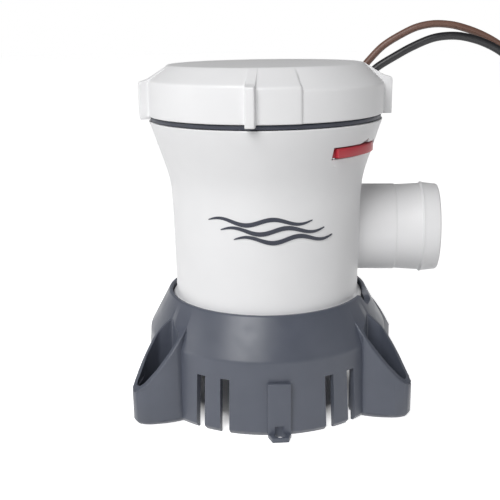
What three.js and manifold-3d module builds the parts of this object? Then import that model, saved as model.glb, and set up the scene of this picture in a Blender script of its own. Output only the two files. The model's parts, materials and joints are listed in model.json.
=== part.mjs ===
// A small submersible bilge pump with a pull-out motor cartridge.
// Millimetres, +Z up. The pump's own axis is vertical; the hose outlet points along +X and the
// screw lugs of the base lie near -Y and +Y. The origin is the middle of the footprint, on the floor.
import * as THREE from 'three';
import { mergeVertices } from 'three/addons/utils/BufferGeometryUtils.js';
import Module from 'manifold-3d';

const wasm = await Module();
wasm.setup();

// ---------------------------------------------------------------- driving dimensions
const AXIS_X = -6.751; // where the pump's axis stands, from the middle of the footprint
const GAP = 0.3; // clearance between pieces that touch
const ROUND = 48; // sides of the large round pieces
const SMALL_ROUND = 20; // sides of the small round pieces

const CAP_TOP_Z = 113.8;
const CAP_TOP_R = 32.2;
const CAP_BOTTOM_Z = 97.7;
const CAP_BORE_SHOULDER_Z = 105.8;
const RIB_R = 42.1;
const RIB_WIDTH = 3;
const RIB_SHOULDER_Z = 108.7;
const RIB_BOTTOM_Z = 96.9;
const RIB_TURNS = [-161.5, -92.8, 3.5, 87];
// The panels between the ribs: where each starts and ends, its radius and its shoulder's height.
const CAP_PANELS = [
  [-161.5, -92.8, 39.3, 108.9],
  [-92.8, -70.3, 39.8, 108.3],
  [-70.3, 3.5, 39.1, 107.3],
  [3.5, 87, 39.3, 108.9],
  [87, 109.5, 39.8, 108.3],
  [109.5, 198.5, 39.1, 107.3],
];
const PLUG_R = 32; // the part of the cap that plugs the housing's neck
const PLUG_BORE_R = 29.2;
const PLUG_BOTTOM_Z = 88;

const NECK_TOP_Z = 95.9;
const NECK_TOP_R = 38.9;
const NECK_FOOT_Z = 77.5;
const BARREL_R = 32;
const BARREL_FOOT_R = 31.6;
const BARREL_BORE_R = 29.6;
const HOUSING_BOTTOM_Z = 30;
const FLANGE_R = 33;
const FLANGE_TOP_Z = 35.6;
const SEAL_BORE_R = 32.4;

const OUTLET_Y = 13; // the outlet leaves the barrel off its middle, along the back of the pump chamber
const OUTLET_Z = 55.5;
const OUTLET_R = 15.27; // takes a 28.6 mm (1-1/8 in) hose
const OUTLET_BORE_R = 12.1;
const OUTLET_END = 59.9; // from the pump's axis

const BASE_TURN = 8.2; // degrees that the base is clocked round from the outlet
const BASE_RIM_Z = 37.3;
const BASE_RIM_R = 34.3;
const BASE_SHOULDER_Z = 24.3;
const BASE_SHOULDER_R = 41.3;
const BASE_R = 42.8;
const BASE_CHAMFER = 1.6; // height of the chamfer round the base's foot
const BASE_CHAMFER_DEPTH = 1.2;
const BASE_WALL = 1.9;
const FOOT_TURNS = [-57.1, 53.4, 116.1, 227.8]; // degrees from the front lug
const FOOT_SIDES = [-1, 1, -1, 1]; // the side of each foot whose pocket reaches deepest into the base
const FOOT_PLAN = [[35.5, 6.6], [41.5, 9], [47.2, 7.3], [53.4, 3.6], [54.9, 1.6]]; // distance out, half width
const FOOT_TOP = [[37, 32], [41.7, 27.2], [46.9, 21.1], [51.7, 15.1], [53.1, 13.2], [55, 11.6]];
const FOOT_POCKET = [[41.5, 7.2], [47, 5.4], [52.1, 2.2], [53.2, 1]];
const FOOT_DRAFT = 0.0076; // share of its width that a foot loses with each millimetre of height
const FOOT_FLOOR = 3;
const NOTCH_TURN = 70.8; // degrees from the front lug to the notch in the rim
const NOTCH_Z = 33.5;
const SLOT_TURNS = [-35.4, -23.7, 23.1, 34.8, 79.2, 90.6, 144.9, 156.6, 203.4, 215.1, 255, 266.4, 277.8];
const LEDGE_TURNS = [-85, -28, 0, 28, 85, 148, 180, 212];
const SLOT_WIDTH = 3.1;
const SLOT_TOP_Z = 18.3;
const LUG_REACH = 46.9;
const LUG_WIDTH = 7.35;
const LUG_THICKNESS = 1.6;
const LUG_HOLE_AT = 44.6; // from the pump's axis

const SHELL_R = 24; // the sealed shell round the motor
const SHELL_FLOOR_Z = 43;
const MOTOR_R = 18.5;
const MOTOR_BOTTOM_Z = 47;
const MOTOR_TOP_Z = 86;
const SHAFT_R = 1.6;

const LEVER_TURN = -49.7; // degrees round the axis, where the lock lever's pin stands
const LEVER_Z = 87.7;
const LEVER_PIN_R = 34.4; // from the pump's axis

const BROWN_D = 2.6;
const BLACK_D = 2.8;
const COIL_TURN_R = 15; // to the middle of a coil's turns
const COIL_COLUMNS = 4; // turns side by side in each of a coil's two layers
const COIL_AT = [132, 37]; // from the pump's axis
const TIE_TURN = 40; // degrees round the coil, where its tie sits

// ---------------------------------------------------------------- materials
const plastic = (color, roughness) => new THREE.MeshStandardMaterial({ color, roughness, metalness: 0 });
const metal = (color, roughness) => new THREE.MeshStandardMaterial({ color, roughness, metalness: 1 });
const whitePlastic = plastic(0xe9e9ec, 0.45);
const basePlastic = plastic(0x5f6674, 0.5);
const darkPlastic = plastic(0x2b2e38, 0.5);
const redPlastic = plastic(0xb02a32, 0.4);
const greyPlastic = plastic(0x8b8f96, 0.5);
const blackRubber = plastic(0x17181b, 0.7);
const brownSheath = plastic(0x6a4436, 0.5);
const blackSheath = plastic(0x1c1d20, 0.5);
const steel = metal(0xb6b9bd, 0.3);
const iron = metal(0x6f7276, 0.5);
const ferrite = plastic(0x3b3a3c, 0.8);
const copper = metal(0xc07a4a, 0.35);
const brass = metal(0xc9a75a, 0.35);
const carbon = plastic(0x222326, 0.6);

// ---------------------------------------------------------------- solids
const radians = THREE.MathUtils.degToRad;

// A closed solid from a closed geometry: shared corners merged, faces pointing out.
function solid(geometry) {
  const bare = geometry.clone();
  bare.deleteAttribute('normal');
  bare.deleteAttribute('uv');
  const merged = mergeVertices(bare, 1e-4);
  const corners = Array.from(merged.index.array);
  const kept = [];
  for (let i = 0; i < corners.length; i += 3) {
    const [a, b, c] = corners.slice(i, i + 3);
    if (a !== b && b !== c && c !== a) kept.push(a, b, c);
  }
  const vertProperties = new Float32Array(merged.attributes.position.array);
  const make = (triVerts) =>
    new wasm.Manifold(new wasm.Mesh({ numProp: 3, vertProperties, triVerts: new Uint32Array(triVerts) }));
  const body = make(kept);
  if (body.volume() > 0) return body;
  for (let i = 0; i < kept.length; i += 3) [kept[i], kept[i + 1]] = [kept[i + 1], kept[i]];
  return make(kept);
}

function geometryOf(body) {
  const mesh = body.getMesh();
  const positions = [];
  for (let i = 0; i < mesh.vertProperties.length; i += mesh.numProp) {
    positions.push(...mesh.vertProperties.slice(i, i + 3));
  }
  const geometry = new THREE.BufferGeometry();
  geometry.setAttribute('position', new THREE.Float32BufferAttribute(positions, 3));
  geometry.setIndex(Array.from(mesh.triVerts));
  geometry.computeVertexNormals();
  return geometry;
}

const joined = (bodies) => bodies.reduce((sum, body) => sum.add(body));

// A round piece about Z from its outline of [radius, z] corners, going once round the section.
function turned(outline, sides = ROUND) {
  const points = outline.map(([r, z]) => new THREE.Vector2(r, z));
  if (outline[0][0] > 0) points.push(points[0].clone());
  return solid(new THREE.LatheGeometry(points, sides).rotateX(Math.PI / 2));
}

const ring = (rIn, rOut, zLow, zHigh, sides = ROUND) =>
  turned([[rIn, zLow], [rOut, zLow], [rOut, zHigh], [rIn, zHigh]], sides);

const rod = (r, zLow, zHigh, sides = SMALL_ROUND) =>
  turned([[0, zLow], [r, zLow], [r, zHigh], [0, zHigh]], sides);

const box = (x, y, z, cx, cy, cz) => solid(new THREE.BoxGeometry(x, y, z).translate(cx, cy, cz));

// A flat outline of [x, y] corners raised from one height to another; a function may then move each corner.
function raised(outline, zLow, zHigh, move = () => {}) {
  const shape = new THREE.Shape(outline.map(([x, y]) => new THREE.Vector2(x, y)));
  const geometry = new THREE.ExtrudeGeometry(shape, { depth: zHigh - zLow, bevelEnabled: false, steps: 1 });
  geometry.translate(0, 0, zLow);
  const corners = geometry.attributes.position;
  const corner = new THREE.Vector3();
  for (let i = 0; i < corners.count; i += 1) {
    corner.fromBufferAttribute(corners, i);
    move(corner);
    corners.setXYZ(i, corner.x, corner.y, corner.z);
  }
  return solid(geometry);
}

// A plate that stands in the X-Z plane, from its outline of [x, z] corners, centred on Y = 0.
function upright(outline, thickness) {
  const shape = new THREE.Shape(outline.map(([x, z]) => new THREE.Vector2(x, z)));
  const geometry = new THREE.ExtrudeGeometry(shape, { depth: thickness, bevelEnabled: false, steps: 1 });
  return solid(geometry.rotateX(Math.PI / 2).translate(0, thickness / 2, 0));
}

const about = (body, degrees) => body.rotate([0, 0, degrees]);

// A piece of a ring between two angles, whose lower and upper faces may slope along it.
function sector({ from, to, steps, rIn, rOut, low, high }) {
  const positions = [];
  for (let i = 0; i <= steps; i += 1) {
    const angle = radians(from + ((to - from) * i) / steps);
    const at = i / steps;
    for (const [r, z] of [[rIn, low(at)], [rOut, low(at)], [rOut, high(at)], [rIn, high(at)]]) {
      positions.push(r * Math.cos(angle), r * Math.sin(angle), z);
    }
  }
  const faces = [0, 2, 1, 0, 3, 2];
  for (let i = 0; i < steps; i += 1) {
    for (let k = 0; k < 4; k += 1) {
      const a = 4 * i + k;
      const b = 4 * i + ((k + 1) % 4);
      faces.push(a, b, b + 4, a, b + 4, a + 4);
    }
  }
  const end = 4 * steps;
  faces.push(end, end + 1, end + 2, end, end + 2, end + 3);
  const geometry = new THREE.BufferGeometry();
  geometry.setAttribute('position', new THREE.Float32BufferAttribute(positions, 3));
  geometry.setIndex(faces);
  return solid(geometry);
}

// A round tube along a curve.
function tube(curve, diameter, steps, sides = 8) {
  const section = new THREE.Shape();
  for (let i = 0; i <= sides; i += 1) {
    const angle = (i / sides) * 2 * Math.PI;
    const x = (diameter / 2) * Math.cos(angle);
    const y = (diameter / 2) * Math.sin(angle);
    if (i === 0) section.moveTo(x, y);
    else if (i < sides) section.lineTo(x, y);
  }
  section.closePath();
  return solid(new THREE.ExtrudeGeometry(section, { steps, bevelEnabled: false, extrudePath: curve }));
}

// ---------------------------------------------------------------- strainer base
function baseSkin() {
  return [
    [0, 0],
    [BASE_R - BASE_CHAMFER_DEPTH, 0],
    [BASE_R, BASE_CHAMFER],
    [BASE_SHOULDER_R, BASE_SHOULDER_Z],
    [BASE_RIM_R, BASE_RIM_Z],
    [0, BASE_RIM_Z],
  ];
}

// Both sides of an outline given as [distance out, half width] pairs.
const bothSides = (half) => [...half.map(([u, v]) => [u, -v]), ...half.map(([u, v]) => [u, v]).reverse()];

// Narrows a foot or its pocket towards the top.
function draft(corner) {
  corner.y *= 1 - FOOT_DRAFT * corner.z;
}

// Draws the lowest corners of a foot in, which leaves a chamfer round its bottom edge.
function draftAndChamfer(corner) {
  if (corner.z < BASE_CHAMFER / 2) {
    corner.x = Math.max(FOOT_PLAN[0][0], corner.x - BASE_CHAMFER_DEPTH);
    corner.y *= 1 - BASE_CHAMFER_DEPTH / FOOT_PLAN[1][1];
  }
  draft(corner);
}

function foot() {
  const plan = bothSides(FOOT_PLAN);
  const block = raised(plan, 0, BASE_CHAMFER, draftAndChamfer).add(raised(plan, BASE_CHAMFER, BASE_RIM_Z, draft));
  const side = upright([[30, 0], [60, 0], [60, FOOT_TOP.at(-1)[1]], ...[...FOOT_TOP].reverse(), [34, 34.8], [30, 34.8]],
    40);
  return block.intersect(side);
}

// The open well in a foot, whose inner end is skewed and reaches deepest on the given side.
function footPocket(side) {
  const near = FOOT_POCKET.map(([u, v]) => [u, -v * side]);
  const far = FOOT_POCKET.map(([u, v]) => [u, v * side]).reverse();
  const outline = [[39.5, -5.5 * side], ...near, ...far, [36.9, 5 * side]];
  return raised(side > 0 ? outline : outline.reverse(), FOOT_FLOOR, 45, draft);
}

function lug() {
  const half = LUG_WIDTH / 2;
  const strip = box(1.4, LUG_WIDTH, SLOT_TOP_Z, BASE_R + 0.2, 0, SLOT_TOP_Z / 2);
  const lip = raised(
    bothSides([[38, half], [43.6, half], [LUG_REACH, half - 1.1]]),
    0,
    LUG_THICKNESS,
  );
  return strip.add(lip).subtract(rod(1.7, -1, 4, 12).translate([LUG_HOLE_AT, 0, 0]));
}

// The tool that cuts the notch in the rim beside the outlet.
function rimNotch() {
  const top = BASE_RIM_Z + 1;
  const plate = upright([[-3.4, NOTCH_Z], [3.4, NOTCH_Z], [5.8, top - 1.5], [6, top], [-6, top], [-5.8, top - 1.5]], 12);
  return about(plate, 90).translate([BASE_RIM_R + 3, 0, 0]);
}

function strainerBase() {
  const skin = turned(baseSkin());
  const hollow = turned([
    [0, -1],
    [BASE_R - BASE_WALL, -1],
    [BASE_SHOULDER_R - BASE_WALL, BASE_SHOULDER_Z - 0.6],
    [BASE_RIM_R - 1, BASE_RIM_Z - 2.2],
    [BASE_RIM_R - 1, BASE_RIM_Z + 1],
    [0, BASE_RIM_Z + 1],
  ]);
  const feet = FOOT_TURNS.map((turn) => about(foot(), turn));
  const pockets = FOOT_TURNS.map((turn, i) => about(footPocket(FOOT_SIDES[i]), turn));
  const ledge = box(10.6, 2, 9, 35.2, 0, HOUSING_BOTTOM_Z - GAP - 4.5);
  const ledges = LEDGE_TURNS.map((turn) => about(ledge, turn).intersect(skin));
  const lugs = [about(lug(), 0), about(lug(), 180)];
  const slots = SLOT_TURNS.map((turn) =>
    about(box(8, SLOT_WIDTH, SLOT_TOP_Z + 1, BASE_R, 0, (SLOT_TOP_Z - 1) / 2), turn));
  const body = skin
    .add(joined(lugs))
    .subtract(hollow)
    .add(joined(feet))
    .subtract(joined(slots))
    .add(joined(ledges))
    .subtract(joined(pockets))
    .subtract(about(rimNotch(), NOTCH_TURN));
  return about(body, -90 + BASE_TURN);
}

// ---------------------------------------------------------------- housing
function housingSkin() {
  return [
    [0, HOUSING_BOTTOM_Z],
    [FLANGE_R, HOUSING_BOTTOM_Z],
    [FLANGE_R, FLANGE_TOP_Z],
    [BARREL_FOOT_R, FLANGE_TOP_Z + 1],
    [BARREL_R, 66],
    [32.15, 72],
    [32.9, NECK_FOOT_Z],
    [NECK_TOP_R, NECK_TOP_Z],
    [0, NECK_TOP_Z],
  ];
}

function outletSkin() {
  return turned([
    [0, 5],
    [OUTLET_R, 5],
    [OUTLET_R, 44.6],
    [OUTLET_R - 0.2, 45],
    [OUTLET_R + 0.1, 51.5],
    [OUTLET_R + 0.8, 53.8],
    [OUTLET_R - 0.1, 55.3],
    [OUTLET_R - 0.3, OUTLET_END - 0.9],
    [OUTLET_R - 0.9, OUTLET_END],
    [0, OUTLET_END],
  ], 36);
}

const alongOutlet = (body) => body.rotate([0, 90, 0]).translate([0, OUTLET_Y, OUTLET_Z]);

const atLeverPin = (body) => about(body.translate([LEVER_PIN_R, 0, 0]), LEVER_TURN);

// The lever's slot in the neck, with a finger notch above it near the free end.
function leverPocket() {
  const slot = sector({
    from: LEVER_TURN - 2.6,
    to: LEVER_TURN + 37.2,
    steps: 12,
    rIn: 34.6,
    rOut: 41,
    low: () => LEVER_Z - 2,
    high: () => LEVER_Z + 1.9,
  });
  const notch = sector({
    from: LEVER_TURN + 19.7,
    to: LEVER_TURN + 27.5,
    steps: 3,
    rIn: 33.7,
    rOut: 41,
    low: () => LEVER_Z,
    high: (at) => LEVER_Z + 1.9 + at * 1.4,
  });
  const knuckle = atLeverPin(rod(1.5, LEVER_Z - 2, LEVER_Z + 1.9, 16));
  const pinHole = atLeverPin(rod(0.85, LEVER_Z - 4.5, LEVER_Z + 4.5, 10));
  return slot.add(notch).add(knuckle).add(pinHole);
}

function housing() {
  const hollow = turned([
    [0, HOUSING_BOTTOM_Z - 1],
    [BARREL_BORE_R, HOUSING_BOTTOM_Z - 1],
    [BARREL_BORE_R, 77],
    [SEAL_BORE_R, 86],
    [SEAL_BORE_R, NECK_TOP_Z + 1],
    [0, NECK_TOP_Z + 1],
  ]);
  const bore = alongOutlet(rod(OUTLET_BORE_R, 10, OUTLET_END + 1, 32));
  return turned(housingSkin())
    .add(alongOutlet(outletSkin()))
    .subtract(hollow)
    .subtract(bore)
    .subtract(leverPocket());
}

// The floor of the pump chamber, with the inlet eye in its middle.
function inletPlate() {
  const z = HOUSING_BOTTOM_Z + 0.4;
  return turned([[10.5, z], [29.2, z], [29.2, z + 2], [13, z + 2], [12, z + 3], [10.5, z + 3]], 36);
}

// ---------------------------------------------------------------- lock lever
function lockLever() {
  const low = LEVER_Z - 1.5;
  const high = LEVER_Z + 1.5;
  const tongue = sector({
    from: LEVER_TURN - 0.6,
    to: LEVER_TURN + 34.2,
    steps: 12,
    rIn: 34.95,
    rOut: 37.4,
    low: () => low,
    high: () => high,
  });
  const knuckle = atLeverPin(rod(1.15, low, high, 16));
  return tongue.add(knuckle).subtract(atLeverPin(rod(0.62, low - 1, high + 1, 10)));
}

const leverPin = () => atLeverPin(rod(0.55, LEVER_Z - 4.2, LEVER_Z + 4.2, 10));

// ---------------------------------------------------------------- cap
function capPanel([from, to, radius, shoulder]) {
  const round = turned([
    [0, CAP_BOTTOM_Z],
    [radius, CAP_BOTTOM_Z],
    [radius, shoulder],
    [CAP_TOP_R, CAP_TOP_Z],
    [0, CAP_TOP_Z],
  ]);
  const wedge = sector({ from, to, steps: 8, rIn: 20, rOut: 60, low: () => 90, high: () => 120 });
  return round.intersect(wedge);
}

function capRib() {
  const top = CAP_TOP_Z - 0.2;
  return upright([[28, CAP_BOTTOM_Z], [38.8, CAP_BOTTOM_Z], [38.8, RIB_BOTTOM_Z], [RIB_R - 0.2, RIB_BOTTOM_Z],
    [RIB_R, RIB_SHOULDER_Z], [CAP_TOP_R, top], [28, top]], RIB_WIDTH);
}

// Where the leads come out: low on the back of the cap's chamfer, pointing up and outwards.
const GLAND_AT = new THREE.Vector3(31.2, 25.2, 106.6);
const GLAND_AIM = new THREE.Vector3(0.79, 0.1, 0.6).normalize();

function glandPlace(body) {
  const turn = new THREE.Quaternion().setFromUnitVectors(new THREE.Vector3(0, 0, 1), GLAND_AIM);
  const place = new THREE.Matrix4().compose(GLAND_AT, turn, new THREE.Vector3(1, 1, 1));
  return body.transform(place.elements);
}

const glandPlug = (grow) =>
  glandPlace(turned([
    [0, -7 - grow], [4 + grow, -7 - grow], [4.4 + grow, 0], [3.6 + grow, 2.4 + grow], [0, 2.4 + grow],
  ], 16));

function cap() {
  const crown = rod(CAP_TOP_R, CAP_BOTTOM_Z, CAP_TOP_Z, ROUND);
  const ribs = RIB_TURNS.map((turn) => about(capRib(), turn));
  const plug = rod(PLUG_R, PLUG_BOTTOM_Z, CAP_BOTTOM_Z + 1, ROUND);
  const groove = ring(PLUG_R - 1.4, 40, 90.6, 92.6);
  const hollow = turned([
    [0, PLUG_BOTTOM_Z - 1],
    [PLUG_BORE_R, PLUG_BOTTOM_Z - 1],
    [PLUG_BORE_R, CAP_BORE_SHOULDER_Z],
    [28, CAP_TOP_Z - 3],
    [0, CAP_TOP_Z - 3],
  ]);
  return crown
    .add(joined(CAP_PANELS.map(capPanel)))
    .add(joined(ribs))
    .add(plug)
    .subtract(groove)
    .subtract(hollow)
    .subtract(glandPlug(GAP));
}

// ---------------------------------------------------------------- sealed motor shell
function motorShell() {
  const wall = 1.4;
  return turned([
    [5.3, SHELL_FLOOR_Z],
    [SHELL_R - 2, SHELL_FLOOR_Z],
    [SHELL_R, SHELL_FLOOR_Z + 2],
    [SHELL_R, 92],
    [PLUG_BORE_R - GAP, 94],
    [PLUG_BORE_R - GAP, 96],
    [SHELL_R - wall, 96],
    [SHELL_R - wall, SHELL_FLOOR_Z + 2.8],
    [5.3, SHELL_FLOOR_Z + 2.8],
  ], 36).subtract(joined(screwHoles(1.3)));
}

const SCREW_TURNS = [45, 225];
const screwHoles = (r) => SCREW_TURNS.map((turn) => about(rod(r, 40, 52, 10).translate([11, 0, 0]), turn));

const motorScrew = (turn) =>
  about(turned([[0, 41.2], [2, 41.2], [2, 42.7], [1, 42.7], [1, 50], [0, 50]], 12).translate([11, 0, 0]), turn);

function motorCan() {
  return turned([
    [4.3, MOTOR_BOTTOM_Z],
    [MOTOR_R, MOTOR_BOTTOM_Z],
    [MOTOR_R, MOTOR_TOP_Z - 3],
    [MOTOR_R - 1, MOTOR_TOP_Z - 3],
    [MOTOR_R - 1, MOTOR_BOTTOM_Z + 1.4],
    [4.3, MOTOR_BOTTOM_Z + 1.4],
  ], 32).subtract(joined(screwHoles(1.3)));
}

const magnet = (turn) =>
  sector({ from: turn - 62, to: turn + 62, steps: 12, rIn: 14.9, rOut: 17.2, low: () => 52, high: () => 79 });

// The motor's end plate, with the brush boxes' slots and the upper bearing's seat.
function brushPlate() {
  const plate = ring(4.3, MOTOR_R - 0.2, MOTOR_TOP_Z - 2.7, MOTOR_TOP_Z, 32);
  const terminals = [-1, 1].map((side) => box(5, 1.4, 6, 0, side * 11, MOTOR_TOP_Z - 1));
  return plate.subtract(joined(terminals));
}

const bearing = (zLow, zHigh) => ring(SHAFT_R + 0.05, 4, zLow, zHigh, SMALL_ROUND);

const brush = (side) => box(5, 3, 3, side * 8, 0, 80.2);

function brushSpring(side) {
  class Coil extends THREE.Curve {
    getPoint(t, target = new THREE.Vector3()) {
      const angle = t * 4 * 2 * Math.PI;
      return target.set(side * (10.9 + t * 5), 1.1 * Math.cos(angle), 80.2 + 1.1 * Math.sin(angle));
    }
  }
  return tube(new Coil(), 0.4, 40, 4);
}

const terminal = (side) => box(4, 0.8, 9, 0, side * 11, MOTOR_TOP_Z + 2.1);

// ---------------------------------------------------------------- rotor
function corePlan(poles, poleR) {
  const outline = [];
  for (let i = 0; i < poles; i += 1) {
    const middle = (i / poles) * 360;
    const at = (r, degrees) => [r * Math.cos(radians(degrees)), r * Math.sin(radians(degrees))];
    const tip = 0.4 * (360 / poles);
    outline.push(at(6.6, middle - 22), at(11.4, middle - 11), at(11.6, middle - tip), at(poleR, middle - tip));
    outline.push(at(poleR, middle), at(poleR, middle + tip), at(11.6, middle + tip), at(11.4, middle + 11));
    outline.push(at(6.6, middle + 22));
  }
  return outline;
}

const POLES = 5;
const shaftHole = rod(SHAFT_R + 0.05, 20, 120, SMALL_ROUND);
const armatureCore = () => raised(corePlan(POLES, 14.2), 57, 74).subtract(shaftHole);

function windings() {
  const grown = raised(corePlan(POLES, 15), 56.7, 74.3);
  const wider = joined([0, 3, -3].map((turn) => about(grown, turn)));
  return ring(4.6, 11.9, 53, 77.4, 25).subtract(wider);
}

const commutator = () => ring(SHAFT_R + 0.05, 5.2, 77.8, 82.6, SMALL_ROUND);
const shaft = () => rod(SHAFT_R, 31.8, 89, SMALL_ROUND);

function impeller() {
  const hub = ring(SHAFT_R + 0.05, 5, 34.8, 40.4, SMALL_ROUND);
  const disc = ring(SHAFT_R + 0.05, 19, 38.9, 40.4, 36);
  const vanes = [];
  for (let i = 0; i < 5; i += 1) {
    const vane = sector({
      from: -90, to: -22, steps: 6, rIn: 12, rOut: 13.3, low: () => 34, high: () => 39.4,
    }).translate([6, 12.2, 0]);
    vanes.push(about(vane, 72 * i));
  }
  const keep = ring(3.2, 18.8, 33.9, 40.4, 36);
  return hub.add(disc).add(joined(vanes).intersect(keep));
}

const impellerNut = () => turned([[0, 30.6], [2.6, 30.6], [3.4, 32], [3.4, 34.5], [0, 34.5]], 6)
  .subtract(rod(SHAFT_R + 0.05, 31.7, 36, SMALL_ROUND));

// ---------------------------------------------------------------- leads
const point = ([x, y, z]) => new THREE.Vector3(x, y, z);

// Routes from the gland to the coil, from the pump's axis.
const BROWN_ROUTE = [
  [33.6, 27.4, 110.6], [36.2, 27.5, 113.6], [40.7, 27.6, 118.1], [47.7, 28, 122.3], [52.5, 28.2, 124.4],
  [58.1, 28.6, 125.4], [63.9, 29, 125.1], [69, 29.3, 123.9], [76, 29.8, 121.2], [83, 30.2, 117], [90, 30.6, 109.6],
  [95.2, 31.2, 99], [98.6, 32, 86], [100.6, 33, 70], [102, 33.8, 54], [103.6, 34, 38], [105.6, 33.4, 22],
  [108.8, 31.2, 10.4], [113.6, 27.4, 5], [119.6, 22.7, 3.9],
].map(point);
const BLACK_ROUTE = [
  [35.9, 22.9, 108.6], [38.6, 22.9, 111], [44.6, 23.2, 114.6], [50.6, 23.6, 117.8], [57.7, 24, 120.6],
  [63.4, 24.3, 121.3], [68.4, 24.6, 120.9], [76, 25, 118.6], [83, 25.4, 114.6], [89, 25.8, 108], [93.6, 26.4, 98],
  [96.6, 27.4, 85], [98.4, 28.4, 70], [99.8, 29.2, 54], [101.4, 29.6, 38], [103.8, 29.4, 24], [107.6, 28.2, 15],
  [113, 26, 10.8], [119.4, 22.5, 9.9],
].map(point);

const leadTube = (route, diameter) =>
  tube(new THREE.CatmullRomCurve3(route, false, 'centripetal'), diameter, 44, 8);

// The outer shape of one lead's coil, two layers high.
function coil(diameter, zLow, grow = 0) {
  const reach = (COIL_COLUMNS / 2) * diameter + grow;
  const body = ring(COIL_TURN_R - reach, COIL_TURN_R + reach, zLow - grow, zLow + 2 * diameter + grow, 32);
  return body.translate([...COIL_AT, 0]);
}

const BLACK_COIL_Z = 2 * BROWN_D + GAP;
const COIL_TOP_Z = BLACK_COIL_Z + 2 * BLACK_D;

// The flat band that binds both coils: it passes under them and over them.
function coilTie(grow = 0) {
  const band = 0.9;
  const reach = 2 * BLACK_D + GAP;
  const opening = COIL_TOP_Z + GAP - band;
  const middle = band + opening / 2;
  const outer = box(2 * (reach + band + grow), 3 + 2 * grow, opening + 2 * (band + grow), 0, 0, middle);
  const inner = box(2 * (reach - grow), 9, opening - 2 * grow, 0, 0, middle);
  return about(outer.subtract(inner).translate([COIL_TURN_R, 0, 0]), TIE_TURN).translate([...COIL_AT, 0]);
}

// ---------------------------------------------------------------- assembly
const pump = new THREE.Group();
pump.position.x = AXIS_X;

function add(name, body, material) {
  const mesh = new THREE.Mesh(geometryOf(body), material);
  mesh.name = name;
  pump.add(mesh);
}

add('strainer_base', strainerBase(), basePlastic);
add('housing', housing(), whitePlastic);
add('inlet_plate', inletPlate(), greyPlastic);
add('lock_lever', lockLever(), redPlastic);
add('lever_pin', leverPin(), steel);
add('seal_ring', ring(PLUG_R + 0.6, 38.4, NECK_TOP_Z + 0.15, CAP_BOTTOM_Z - 0.15), darkPlastic);
add('cap', cap(), whitePlastic);
add('lead_gland', glandPlug(0), blackRubber);
add('neck_o_ring', ring(PLUG_R - 1.3, PLUG_R + 0.3, 90.8, 92.4), blackRubber);
add('motor_shell', motorShell(), greyPlastic);
add('motor_can', motorCan(), steel);
add('magnet_left', magnet(180), ferrite);
add('magnet_right', magnet(0), ferrite);
add('brush_plate', brushPlate(), darkPlastic);
add('brush_left', brush(-1), carbon);
add('brush_right', brush(1), carbon);
add('brush_spring_left', brushSpring(-1), steel);
add('brush_spring_right', brushSpring(1), steel);
add('terminal_front', terminal(-1), brass);
add('terminal_back', terminal(1), brass);
SCREW_TURNS.forEach((turn, i) => add(`motor_screw_${i + 1}`, motorScrew(turn), steel));
add('lower_bearing', bearing(MOTOR_BOTTOM_Z + 0.2, 50.4), brass);
add('upper_bearing', bearing(MOTOR_TOP_Z - 2.4, MOTOR_TOP_Z + 1), brass);
add('shaft_seal', ring(SHAFT_R + 0.05, 5, SHELL_FLOOR_Z + 0.2, SHELL_FLOOR_Z + 2.8, SMALL_ROUND), blackRubber);
add('shaft', shaft(), steel);
add('armature_core', armatureCore(), iron);
add('windings', windings(), copper);
add('commutator', commutator(), copper);
add('impeller', impeller(), greyPlastic);
add('impeller_nut', impellerNut(), brass);
const clearOfCoils = (body) => body.subtract(coil(BROWN_D, 0, GAP)).subtract(coil(BLACK_D, BLACK_COIL_Z, GAP));
add('lead_brown', clearOfCoils(leadTube(BROWN_ROUTE, BROWN_D)), brownSheath);
add('lead_black', clearOfCoils(leadTube(BLACK_ROUTE, BLACK_D)), blackSheath);
add('coil_brown', coil(BROWN_D, 0).subtract(coilTie(GAP)), brownSheath);
add('coil_black', coil(BLACK_D, BLACK_COIL_Z).subtract(coilTie(GAP)), blackSheath);
add('coil_tie', coilTie(), darkPlastic);

export default pump;
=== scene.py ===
import json
import math

import bmesh
import bpy
import numpy as np
from mathutils import Euler, Matrix, Vector
from mathutils.bvhtree import BVHTree


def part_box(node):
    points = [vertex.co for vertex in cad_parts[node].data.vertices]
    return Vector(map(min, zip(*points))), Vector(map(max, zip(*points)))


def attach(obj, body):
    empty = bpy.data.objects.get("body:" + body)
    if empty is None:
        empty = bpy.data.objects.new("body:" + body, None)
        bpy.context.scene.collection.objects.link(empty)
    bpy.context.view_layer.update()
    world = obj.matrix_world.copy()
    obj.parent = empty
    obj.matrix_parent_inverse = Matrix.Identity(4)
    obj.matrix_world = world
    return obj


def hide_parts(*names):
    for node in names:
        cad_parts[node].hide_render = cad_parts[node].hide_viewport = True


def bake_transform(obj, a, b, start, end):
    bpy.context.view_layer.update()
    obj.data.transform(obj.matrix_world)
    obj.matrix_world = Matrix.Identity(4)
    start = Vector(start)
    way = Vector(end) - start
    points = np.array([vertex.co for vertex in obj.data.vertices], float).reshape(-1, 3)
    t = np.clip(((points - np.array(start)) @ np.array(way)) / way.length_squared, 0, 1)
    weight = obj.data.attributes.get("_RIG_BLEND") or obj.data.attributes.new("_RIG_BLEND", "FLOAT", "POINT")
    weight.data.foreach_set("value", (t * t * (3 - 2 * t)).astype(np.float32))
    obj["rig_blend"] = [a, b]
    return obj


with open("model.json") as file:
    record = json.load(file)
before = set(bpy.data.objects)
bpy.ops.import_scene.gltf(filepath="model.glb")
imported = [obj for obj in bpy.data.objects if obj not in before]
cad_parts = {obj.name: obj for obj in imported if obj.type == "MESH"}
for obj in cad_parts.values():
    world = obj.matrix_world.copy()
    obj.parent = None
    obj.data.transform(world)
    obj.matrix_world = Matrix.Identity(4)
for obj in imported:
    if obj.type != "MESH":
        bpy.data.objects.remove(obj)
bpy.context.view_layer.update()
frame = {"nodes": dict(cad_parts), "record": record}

# Shapes below are worked out in millimetres from the pump's own axis, with z up from the floor.
MM = 0.001
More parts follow.
